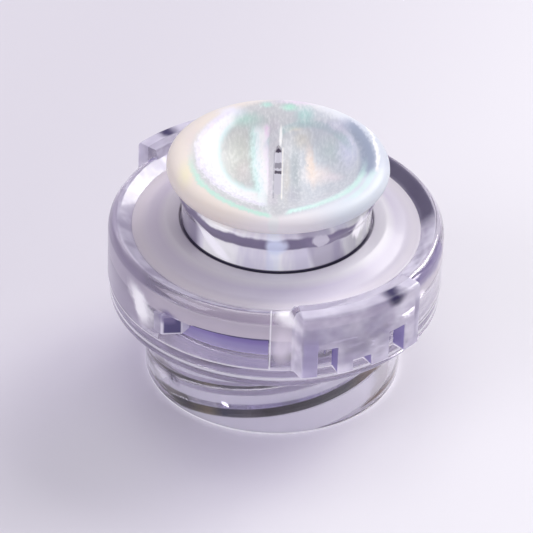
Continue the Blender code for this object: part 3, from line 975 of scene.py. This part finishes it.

# %% [markdown]
# The neck is painted bright between its foot and its flare, and glows a little. The flare mirrors the shaded
# disc below it as a painted mauve band, broken by a few painted white glints, and the foot is painted dark,
# as it stands in the dark gap of the disc's hole.

# %% Painted light and shade in the neck
x, angle, out, z = measured(neck_finish)
streaks = noise(combine(angle * 0.07, z * 0.25), detail=3.0)
ragged = (streaks - 0.5) * 2
wave = (noise(combine(angle * 0.03)) - 0.5) * 0.5
skin = step(out, NECK_FOOT_R - 0.1, NECK_FOOT_R - 0.05)
neck_finish.paint_light_and_shade([
    # The skin painted bright in streaks, less on the right.
    (skin * (0.78 - step(angle, 28, 60) * 0.4),
     blend(step(streaks, 0.36, 0.60), (0.80, 0.78, 0.87), (1.0, 1.0, 1.0))),
    # The painted mauve band of reflection, and the painted glints that break it.
    (skin * within(z + wave + ragged * 0.12, 6.98, 7.36, 0.10) * 0.9, (0.17, 0.14, 0.24)),
    (skin * oval(angle + ragged * 5, z + ragged * 0.2, (0, 7.10), (8, 0.46), 0.5) * 0.85, (0.72, 0.76, 0.88)),
    (skin * within(angle + ragged * 2, -4, 1, 3) * 0.35, (0.66, 0.72, 0.86)),
    (skin * oval(angle + ragged * 7 + z * 6, z + ragged * 0.4, (70, 7.22), (7, 0.30), 0.3), (1.0, 1.0, 1.0)),
    (skin * oval(angle + ragged * 14, z + ragged * 0.4, (58, 7.0), (9, 0.6), 0.5), (1.0, 0.99, 1.0)),
    # Painted shade on both sides with a painted highlight on the right, and painted shade at the foot.
    (skin * within(angle + z * 8 + ragged * 8, 76, 92, 6) * 0.5, (0.30, 0.26, 0.38)),
    (skin * oval(angle + z * 22, z, (104, 6.65), (8, 0.7), 0.4) * 0.9, (0.98, 0.97, 1.0)),
    (skin * within(angle, -78, -58, 8) * 0.7, (0.17, 0.14, 0.23)),
    (under(z, disc_ring_z + 0.02, disc_ring_z + 0.08), (0.06, 0.055, 0.09)),
], roughness=0.1, glow=0.34)
neck_finish.pass_lamps(LAMP_VEIL)

# %% [markdown]
# The thread's flanks reflect the dark inside of the skirt, so from outside each flank is painted as a thin
# dark line of reflection that turns brown, tan and slate on its way round. The wall has a faint milky veil
# that glows a little, which leaves a clear gap beside each line. The standing rim is a painted white
# highlight line, as a moulded edge catches the light.

# %% Painted light and shade in the skirt
x, angle, out, z = measured(skirt_finish)
winding = z - angle * (LEAD / 360) - RIDGE_FRONT_Z
on_ridge = maths("WRAP", winding, LEAD / 4, -LEAD / 4)
upper = step(on_ridge, -0.1, 0.1)
flank = step(out + upper * 0.12, ROOT_R - 0.19, ROOT_R - 0.16) * under(out, ROOT_R - 0.04, ROOT_R - 0.01)
foot = within(on_ridge, -0.74, -0.56, 0.03) * within(out, ROOT_R - 0.03, ROOT_R + 0.02, 0.01)
lines = (flank + foot) * under(z, WEB_UNDERSIDE_Z - 0.3, WEB_UNDERSIDE_Z - 0.2)
# Colours of the lines' painted dark reflection, from left to right.
flank_reflection_colour = ramp((x + 4.0) / 8, [
    (0.06, (0.20, 0.18, 0.13)),
    (0.16, (0.02, 0.02, 0.02)),
    (0.25, (0.22, 0.18, 0.10)),
    (0.31, (0.04, 0.045, 0.07)),
    (0.41, (0.10, 0.09, 0.10)),
    (0.48, (0.02, 0.012, 0.012)),
    (0.66, (0.02, 0.015, 0.02)),
    (0.80, (0.06, 0.06, 0.07)),
    (0.90, (0.24, 0.15, 0.09)),
], mode="LINEAR")
skirt_wall = step(out, RIM_R - 0.12, RIM_R - 0.06)
from_line = maths("WRAP", winding - 0.19, LEAD / 4, -LEAD / 4)
clear_gap = within(maths("ABSOLUTE", from_line), 0.25, 0.70, 0.10)
smear = noise(combine(angle * 0.5, z * 2.5), detail=4.0)
skirt_finish.paint_light_and_shade([
    # A faint glowing veil, a dark smear on the left, the rim's painted highlight line, and the painted lines.
    (skirt_wall * (1 - clear_gap) * (0.24 + within(angle, -20, 40, 40) * 0.14), (0.95, 0.94, 1.0)),
    (skirt_wall * oval(angle + z * 8, z, (-40, 1.22), (6, 0.34), 1.0) * step(smear, 0.38, 0.55),
     (0.08, 0.07, 0.10)),
    (skirt_wall * within(z, -0.1, 0.10, 0.05) * 0.85, (1.0, 1.0, 1.0)),
    (lines, flank_reflection_colour),
], roughness=0.25, coat=0.0, glow=0.22)
skirt_finish.pass_lamps(LAMP_VEIL)

# %% [markdown]
# The disc is frosted on all its skins: light goes in and comes out soft. Its top carries painted light and
# shade: its raised inner ring is painted paler, with a darker band outside it, its sides are painted darker,
# and its hole is a dark line of painted shade, because hardly any light comes out of the gap round the neck.

# %% Frosted plastic
frosted = Finish("frosted_plastic", Transmission_Weight=0.30, IOR=1.49, Coat_Weight=0.25, Coat_Roughness=0.18)
x, angle, out, z = measured(frosted)
# The top's colour holds painted light and shade: a dark line at the hole, a pale ring, a darker band.
painted_disc_shading = ramp((out - NECK_FOOT_R) / (disc_r - NECK_FOOT_R), [
    (0.045, (0.10, 0.09, 0.13)),
    (0.075, (0.84, 0.82, 0.86)),
    (0.34, (1.0, 0.99, 1.0)),
    (0.50, (0.80, 0.75, 0.88)),
    (0.68, (0.86, 0.82, 0.92)),
    (0.86, (0.96, 0.92, 0.95)),
    (1.0, (0.92, 0.88, 0.93)),
], mode="LINEAR")
# Painted shade on the left side, and less on the right side.
painted_disc_shading = blend(step(x, 1.0, -4.5) * 0.55, painted_disc_shading, (0.48, 0.42, 0.47))
painted_disc_shading = blend(step(x, 1.5, 4.5) * 0.45, painted_disc_shading, (0.60, 0.57, 0.62))
on_top = step(z, disc_ring_z - 0.2, disc_ring_z - 0.1) + step(out, NECK_FOOT_R + 0.1, NECK_FOOT_R + 0.2)
grain = noise(frosted.place(), 6000.0)
frosted.set(Base_Color=blend(on_top, (0.75, 0.72, 0.80), painted_disc_shading), Roughness=0.38 + grain * 0.12)
frosted.bump(grain, 0.2, 0.006 * MM)
frosted.pass_lamps((0.80, 0.77, 0.85))
print("Nodes of the frosted finish:", len(frosted.nodes))

# %% [markdown]
# Silicone is milky and has a pearly sheen, which changes from place to place like oil on water. That sheen,
# with the dish's highlights and shade, is painted as a maker would draw it, looking down at the dish from the
# front: across is x, and up is the height in that slanted picture. A brushed noise frays every border. The
# rim is laid first, then the floor of each lobe in painted shade, then the painted crescent of highlight and
# the bright bands beside the ridge. The mint line round the dish comes last.

# %% Where the painted sheen is
silicone = Finish("silicone", IOR=1.41, Transmission_Weight=0.05, Subsurface_Weight=0.6,
                  Subsurface_Scale=0.7 * MM, Subsurface_Radius=(1.0, 0.95, 0.9), Coat_Weight=0.12,
                  Coat_Roughness=0.3)
x, y, z = [part / MM for part in xyz(silicone.place())]
silk = noise(combine(x * 2.0, y * 0.7), 2.2, detail=5.0, roughness=0.7)
fine = noise(combine(x * 11, y * 4.5, z * 4.5))
fray = (silk - 0.5) * 0.20 + (fine - 0.5) * 0.16
u = x + fray
v = y * math.sin(VIEW_HEIGHT) + (z - head_top_z) * math.cos(VIEW_HEIGHT) + fray * 0.6
left = under(x, -0.25, -0.1)
rim = hypot(u / 2.96, v / 1.87) - maths("EXPONENT", maths("ABSOLUTE", x) * -0.9) * 0.11
inside = under(rim, 0.92, 1.05)


def spot(middle, size, soft=1.0):
    """An oval in the slanted picture, with frayed borders."""
    return oval(u, v, middle, size, soft)


# %% Lay the rim and the floor of the dish, in painted sheen and shade
# The rim's painted sheen runs from warm on the left to cool on the right.
silicone.set(Base_Color=blend(step(x, -2.6, 3.4), (0.84, 0.76, 0.69), (0.80, 0.84, 0.91)))
# Patches of painted sheen on the rim, its right side shaded, and the floor and left lobe grey as shade.
silicone.paint([
    (spot((-3.1, -0.7), (0.4, 0.7)) * 0.7, (0.90, 0.84, 0.60)),
    (spot((-2.9, 0.5), (0.5, 0.9)) * 0.6, (0.76, 0.68, 0.68)),
    (oval(x, v, (0.4, -2.5), (2.6, 0.9), 1.0) * 0.8, (0.98, 0.92, 0.94)),
    (oval(x, v, (-0.1, -2.3), (0.25, 0.5)) * 0.5, (0.86, 0.92, 0.88)),
    (step(x, 2.0, 3.4) * step(v, -1.2, 0.2) * 0.8, (0.62, 0.66, 0.74)),
    (step(x, 1.2, 3.0) * under(v, -1.0, 0.1), (0.76, 0.82, 0.87)),
    (spot((2.9, -1.0), (0.6, 0.35)) * 0.5, (0.70, 0.72, 0.78)),
    (inside, blend(step(x, -0.3, 1.4), (0.60, 0.61, 0.62), (0.66, 0.69, 0.73))),
    (spot((-1.35, 0.0), (0.95, 1.6), 0.9) * left, (0.66, 0.68, 0.62)),
    (spot((-1.2, -0.5), (0.4, 0.6)) * 0.5, (0.74, 0.66, 0.66)),
    (spot((-1.2, 1.30), (0.95, 0.42)) * 0.7, (0.52, 0.78, 0.68)),
    (spot((-1.65, 1.55), (0.7, 0.32)) * 0.8, (0.86, 0.86, 0.97)),
])

# %% Lay the painted highlights: the crescent and the bands beside the ridge
from_ridge = u + 0.66 - maths("POWER", maths("MAXIMUM", 0.6 - v, 0.0), 2.0) * 0.075
ridge_band = step(from_ridge, -0.46, -0.14) * under(from_ridge, 0.24, 0.40) * left * inside * (
    under(v, 0.8, 1.25)) * (1 - step(v, -1.0, -1.7) * 0.8)
crescent_in = hypot(u + 0.72, v - 0.15) - 1.23
crescent_out = (v * 0.05 + 0.94 - rim) * 2.4
crescent = step(crescent_in, -0.12, 0.16) * step(crescent_out, -0.08, 0.16) * (
    under(u + v * 0.5, -1.15, -0.6)) * under(u, -0.55, -0.25)
# Painted highlight in the crescent and beside the ridge, with mint, lilac and pink edges; shade right of it.
silicone.paint([
    (crescent, ramp(crescent_in + 0.12, [
        (0.0, (0.56, 0.86, 0.76)), (0.16, (0.78, 0.98, 0.95)), (0.34, (1.0, 1.0, 1.0)),
        (1.0, (1.0, 0.99, 1.0))])),
    (crescent * under(crescent_out, 0.04, 0.26) * 0.85, (0.80, 0.72, 0.92)),
    (oval(u - v * 0.2, v, (-2.50, 0.75), (0.14, 0.5), 1.0) * 0.6, (1.0, 0.80, 0.92)),
    (ridge_band, ramp(from_ridge + 0.4, [
        (0.04, (0.58, 0.80, 0.72)), (0.17, (0.72, 0.96, 0.90)), (0.32, (0.88, 1.0, 0.99)),
        (0.5, (1.0, 1.0, 1.0)), (0.62, (0.97, 0.88, 0.97)), (0.74, (0.80, 0.74, 0.85))])),
    (spot((-0.40, 0.95), (0.14, 0.3), 0.8) * 0.7, (0.93, 0.72, 0.90)),
    (oval(x, v, (0.30, -0.75), (0.20, 1.2), 0.9) * 0.8, (0.62, 0.60, 0.56)),
    (oval(u - maths("ABSOLUTE", v) * 0.06, v, (0.55, -0.45), (0.26, 1.5), 0.9) * 0.9, (0.44, 0.49, 0.51)),
])

# %% Lay the right lobe and the back of the dish, in painted sheen and shade
# The right lobe's painted sheen in peach, mint and grey, with painted shade at its edge and at the back.
silicone.paint([
    (spot((0.52, -1.3), (0.4, 0.5)) * 0.7, (0.48, 0.48, 0.54)),
    (spot((0.80, 0.65), (0.5, 0.55)) * 0.8, (0.72, 0.69, 0.62)),
    (spot((0.50, 1.02), (0.42, 0.14)) * 0.8, (0.86, 0.80, 0.70)),
    (spot((1.8, 0.30), (0.8, 0.7)) * 0.8, (0.62, 0.72, 0.72)),
    (spot((2.35, 0.35), (0.55, 1.0)) * 0.9, (0.78, 0.80, 0.96)),
    (spot((1.35, -0.55), (0.75, 0.50)) * 0.9, (0.96, 0.86, 0.82)),
    (oval(u + v * 0.12, v, (1.08, -0.25), (0.26, 1.0), 0.9), (0.94, 0.80, 0.70)),
    (spot((1.9, -0.62), (0.5, 0.25)) * 0.7, (0.90, 0.82, 0.86)),
    (within(hypot(u - 1.0, v + 0.4), 1.56, 1.66, 0.14) * step(v, 0.1, 0.7) * 0.5, (0.44, 0.60, 0.60)),
    (spot((2.1, 1.15), (1.0, 0.45)) * 0.7, (0.60, 0.59, 0.72)),
    (within(rim, 0.96, 1.06, 0.07) * step(x, 1.9, 2.6) * within(v, -0.3, 1.2, 0.4), (0.36, 0.41, 0.52)),
    (spot((0.34, 1.78), (0.42, 0.22)) * 0.9, (0.46, 0.80, 0.66)),
    (spot((0.85, 1.50), (0.5, 0.48)) * 0.7, (0.44, 0.74, 0.68)),
    (spot((-0.45, 1.84), (0.32, 0.16)) * 0.8, (0.50, 0.80, 0.70)),
    (spot((0.7, 1.98), (1.4, 0.16)) * 0.8, (0.80, 0.70, 0.84)),
])

# %% Lay the slit's lips, the thin lines and the silk, in painted highlights and shade
right_line = step(x, -0.3, 0.6) * 0.07 - step(x, 1.4, 2.8) * 0.055
mint_line = within(rim + right_line, 0.987, 0.998, 0.055)
off_middle = 1 - within(x, -0.10, 0.2, 0.25)
# Painted shade by the slit, highlights above it and on its lip, a highlight line on the right crest, glinting
# silk.
silicone.paint([
    (within(x, -0.28, -0.02, 0.08) * within(v, -1.5, 1.2, 0.3) * 0.8, (0.60, 0.58, 0.62)),
    (within(x, -0.155, -0.12, 0.015) * within(v, -1.40, 0.25, 0.04) * 0.6, (0.26, 0.25, 0.31)),
    (oval(x, v, (0.06, 0.75), (0.07, 0.5)), (1.0, 1.0, 0.96)),
    (within(x, 0.125, 0.16, 0.02) * within(v, -1.4, 0.3, 0.1) * 0.9, (1.0, 0.97, 0.88)),
    (mint_line * under(v, -0.9, 0.2) * off_middle * 0.9,
     blend(step(x, -0.5, 0.5), (0.54, 0.82, 0.70), (0.72, 1.0, 0.90))),
    (within(rim, 1.07, 1.10, 0.04) * step(x, 1.6, 2.2) * within(v, -1.2, -0.5, 0.3) * 0.5,
     (0.72, 0.95, 0.90)),
    (within(hypot(u / 3.45, v / 2.8), 0.962, 0.975, 0.018) * within(v, -0.2, 1.1, 0.3) * step(x, 2.0, 2.6),
     (1.0, 1.0, 1.0)),
    (step(fine + silk * 0.5, 0.66, 1.05) * inside * 0.30, (1.0, 1.0, 1.0)),
    (step(fine + silk * 0.5, 0.84, 0.42) * inside * 0.22, (0.46, 0.48, 0.52)),
])

# %% [markdown]
# Light that comes up through the clear neck fills the open slit, so its walls are pale, with dark bars
# where the plug below is thick. The walls glow a little to stand for that light.

# %% The slit's walls, and the silicone's skin
in_slit = within(x, -0.13, 0.13, 0.01) * within(y, -1.5, 1.5, 0.02) * (
    under(z, head_top_z - DISH - 0.02, head_top_z - DISH + 0.01))
bars = within(v, 0.2, 0.36, 0.02) + within(v, -0.34, -0.17, 0.02) * 0.6 + (
    within(v, -0.54, -0.44, 0.02)) + within(v, -1.40, -1.35, 0.02)
slit_colour = blend(bars, (0.58, 0.56, 0.65), (0.07, 0.055, 0.09))
silicone.paint([(in_slit, (0.02, 0.02, 0.02))])
silicone.set(Emission_Color=blend(in_slit, (0.0, 0.0, 0.0), slit_colour), Emission_Strength=1.0,
             Roughness=0.38 + silk * 0.12)
silicone.bump(fine + silk, 0.22, 0.008 * MM)
silicone.pass_lamps((0.5, 0.48, 0.52), share=0.5)

# %% [markdown]
# ## Dress the frame
# Each piece takes the place of the imported moulding that it was modelled on, and stands on the same body.

# %% Give each piece its finish and its body
for piece, node, finish, slot in (
    (septum_body, "septum", silicone, "silicone"),
    (neck_tube, "valve_neck", neck_finish, "clear_plastic"),
    (shoulder_ring, "shoulder_disc", frosted, "frosted_plastic"),
    (collar_ring, "lock_collar", collar_finish, "clear_plastic"),
    (insert_core, "flow_insert", insert_finish, "clear_plastic"),
    (skirt_shell, "threaded_skirt", skirt_finish, "clear_plastic"),
):
    piece.data.materials.clear()
    piece.data.materials.append(finish.material)
    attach(piece, "root")
    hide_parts(node)
    print(piece.name, "stands for", node)

# %% [markdown]
# ## Floor, lamps and air
# The floor is pale lavender, painted lighter on the right, where the key light comes from. Three soft lamps
# of a plain strength and a pale, slightly violet sky light the part.

# %% Lay the floor
bpy.ops.object.select_all(action="DESELECT")
bpy.ops.mesh.primitive_circle_add(vertices=128, radius=1.5, fill_type="NGON")
floor = bpy.context.object
floor.name = "floor"
ground = Finish("floor_paper", Roughness=0.9, Specular_IOR_Level=0.1)
x, y, z = xyz(ground.place())
# Painted light: the floor's colour gets lighter from left to right.
painted_floor_light = step((x - y * 0.3) / MM, -14, 14)
ground.set(Base_Color=blend(painted_floor_light, (0.68, 0.655, 0.71), (0.86, 0.845, 0.875)))
floor.data.materials.append(ground.material)


# %% Hang the lamps
def lamp(name, place, watts, colour=(1, 1, 1), side=0.14, target=(0, 0, 0.005)):
    bpy.ops.object.light_add(type="AREA", location=place)
    made = bpy.context.object
    made.name = name
    made.rotation_euler = (Vector(place) - Vector(target)).to_track_quat("Z", "Y").to_euler()
    made.data.size = side
    made.data.energy = watts
    made.data.color = colour
    print(name, watts, "W")


lamp("key_light", (0.17, 0.17, 0.20), 0.58, (1.0, 0.985, 0.97))
lamp("fill_light", (-0.20, -0.12, 0.16), 0.16, (0.95, 0.93, 1.0))
lamp("top_light", (-0.02, 0.10, 0.30), 0.15)

# %% Tint the air
AIR_STRENGTH = 0.75
world = bpy.data.worlds.new("studio_air")
bpy.context.scene.world = world
world.use_nodes = True
air = Tree(world.node_tree)
height = xyz(air.node("TexCoord", {}, output="Generated"))[2]
sky = ramp(height, [(0.0, (0.20, 0.17, 0.32)), (0.28, (0.44, 0.42, 0.52)), (0.9, (0.80, 0.79, 0.84))],
           mode="LINEAR")
air.join(air.nodes["Background"].inputs["Color"], sky)
air.join(air.nodes["Background"].inputs["Strength"], AIR_STRENGTH)

# %% [markdown]
# ## The picture
# A ray has to pass many clear walls, so it gets more bounces than usual.

# %% Settings of the picture
BOUNCES = 24
picture = bpy.context.scene
picture.view_settings.view_transform = "Standard"
picture.cycles.max_bounces = picture.cycles.transmission_bounces = BOUNCES
picture.cycles.transparent_max_bounces = 2 * BOUNCES
print("Bounces:", picture.cycles.max_bounces)

# %% Bring the scene up to date
bpy.context.view_layer.update()
